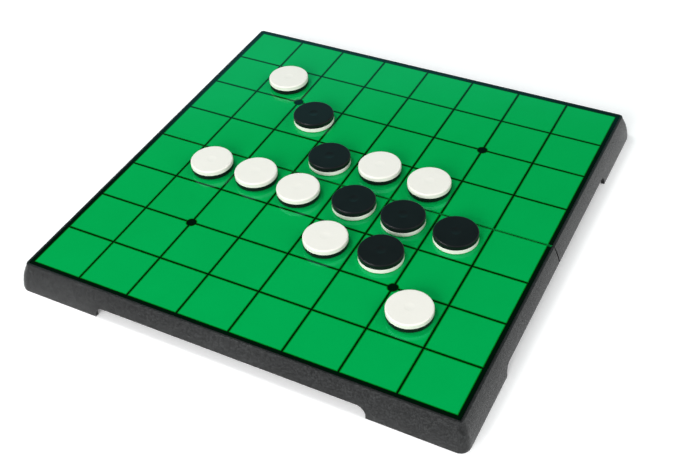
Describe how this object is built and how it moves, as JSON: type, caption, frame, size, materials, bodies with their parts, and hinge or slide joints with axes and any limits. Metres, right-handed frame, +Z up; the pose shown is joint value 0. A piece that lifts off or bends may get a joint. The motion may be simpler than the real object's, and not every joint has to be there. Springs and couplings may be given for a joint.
{
  "type": "magnetic reversi set",
  "caption": "Folding magnetic reversi board: two black case halves with a green squared top, joined by a link hinge, and two-coloured discs that lift off.",
  "frame": {"origin": "on the table under the middle of the fold, at the centre of the open board's footprint", "axes": "+X along the fold to the right, +Y to the rear half, +Z up from the table to the playing surface"},
  "size_m": [0.25, 0.25, 0.0213],
  "materials": {
    "shell_plastic": "black moulded plastic with a fine matt grain",
    "link_plastic": "black moulded plastic",
    "playing_film": "green printed film with black lines and border, semi-gloss",
    "steel_sheet": "cold-rolled tinplate",
    "pin_steel": "bright drawn wire",
    "magnet": "dark grey sintered ferrite",
    "disc_black": "satin black moulded plastic",
    "disc_white": "satin white moulded plastic"
  },
  "bodies": {
    "rear_half": {"rear_shell": "shell_plastic", "rear_steel_sheet": "steel_sheet", "rear_playing_film": "playing_film", "rear_hinge_pins": "pin_steel", "rear_catch_magnets": "magnet"},
    "hinge_links": {"left_hinge_link": "link_plastic", "right_hinge_link": "link_plastic"},
    "front_half": {"front_shell": "shell_plastic", "front_steel_sheet": "steel_sheet", "front_playing_film": "playing_film", "front_hinge_pins": "pin_steel", "front_catch_magnets": "magnet"},
    "disc_01": {"disc_01_black_half": "disc_black", "disc_01_white_half": "disc_white", "disc_01_magnet": "magnet"},
    "disc_02": {"disc_02_black_half": "disc_black", "disc_02_white_half": "disc_white", "disc_02_magnet": "magnet"},
    "disc_03": {"disc_03_black_half": "disc_black", "disc_03_white_half": "disc_white", "disc_03_magnet": "magnet"},
    "disc_04": {"disc_04_black_half": "disc_black", "disc_04_white_half": "disc_white", "disc_04_magnet": "magnet"},
    "disc_05": {"disc_05_black_half": "disc_black", "disc_05_white_half": "disc_white", "disc_05_magnet": "magnet"},
    "disc_06": {"disc_06_black_half": "disc_black", "disc_06_white_half": "disc_white", "disc_06_magnet": "magnet"},
    "disc_07": {"disc_07_black_half": "disc_black", "disc_07_white_half": "disc_white", "disc_07_magnet": "magnet"},
    "disc_08": {"disc_08_black_half": "disc_black", "disc_08_white_half": "disc_white", "disc_08_magnet": "magnet"},
    "disc_09": {"disc_09_black_half": "disc_black", "disc_09_white_half": "disc_white", "disc_09_magnet": "magnet"},
    "disc_10": {"disc_10_black_half": "disc_black", "disc_10_white_half": "disc_white", "disc_10_magnet": "magnet"},
    "disc_11": {"disc_11_black_half": "disc_black", "disc_11_white_half": "disc_white", "disc_11_magnet": "magnet"},
    "disc_12": {"disc_12_black_half": "disc_black", "disc_12_white_half": "disc_white", "disc_12_magnet": "magnet"},
    "disc_13": {"disc_13_black_half": "disc_black", "disc_13_white_half": "disc_white", "disc_13_magnet": "magnet"},
    "disc_14": {"disc_14_black_half": "disc_black", "disc_14_white_half": "disc_white", "disc_14_magnet": "magnet"}
  },
  "joints": [
    {"name": "rear_fold", "type": "hinge", "parent": "rear_half", "child": "hinge_links", "pos_m": [0, 0.003, 0.0029], "axis": [1, 0, 0], "range_deg": [0, 90]},
    {"name": "front_fold", "type": "hinge", "parent": "hinge_links", "child": "front_half", "pos_m": [0, -0.003, 0.0029], "axis": [1, 0, 0], "range_deg": [0, 90]},
    {"name": "disc_01_lift", "type": "slide", "parent": "rear_half", "child": "disc_01", "axis": [0, 0, 1], "range_m": [0, 0.03]},
    {"name": "disc_02_lift", "type": "slide", "parent": "rear_half", "child": "disc_02", "axis": [0, 0, 1], "range_m": [0, 0.03]},
    {"name": "disc_03_lift", "type": "slide", "parent": "rear_half", "child": "disc_03", "axis": [0, 0, 1], "range_m": [0, 0.03]},
    {"name": "disc_04_lift", "type": "slide", "parent": "rear_half", "child": "disc_04", "axis": [0, 0, 1], "range_m": [0, 0.03]},
    {"name": "disc_05_lift", "type": "slide", "parent": "rear_half", "child": "disc_05", "axis": [0, 0, 1], "range_m": [0, 0.03]},
    {"name": "disc_06_lift", "type": "slide", "parent": "front_half", "child": "disc_06", "axis": [0, 0, 1], "range_m": [0, 0.03]},
    {"name": "disc_07_lift", "type": "slide", "parent": "front_half", "child": "disc_07", "axis": [0, 0, 1], "range_m": [0, 0.03]},
    {"name": "disc_08_lift", "type": "slide", "parent": "front_half", "child": "disc_08", "axis": [0, 0, 1], "range_m": [0, 0.03]},
    {"name": "disc_09_lift", "type": "slide", "parent": "front_half", "child": "disc_09", "axis": [0, 0, 1], "range_m": [0, 0.03]},
    {"name": "disc_10_lift", "type": "slide", "parent": "front_half", "child": "disc_10", "axis": [0, 0, 1], "range_m": [0, 0.03]},
    {"name": "disc_11_lift", "type": "slide", "parent": "front_half", "child": "disc_11", "axis": [0, 0, 1], "range_m": [0, 0.03]},
    {"name": "disc_12_lift", "type": "slide", "parent": "front_half", "child": "disc_12", "axis": [0, 0, 1], "range_m": [0, 0.03]},
    {"name": "disc_13_lift", "type": "slide", "parent": "front_half", "child": "disc_13", "axis": [0, 0, 1], "range_m": [0, 0.03]},
    {"name": "disc_14_lift", "type": "slide", "parent": "front_half", "child": "disc_14", "axis": [0, 0, 1], "range_m": [0, 0.03]}
  ]
}
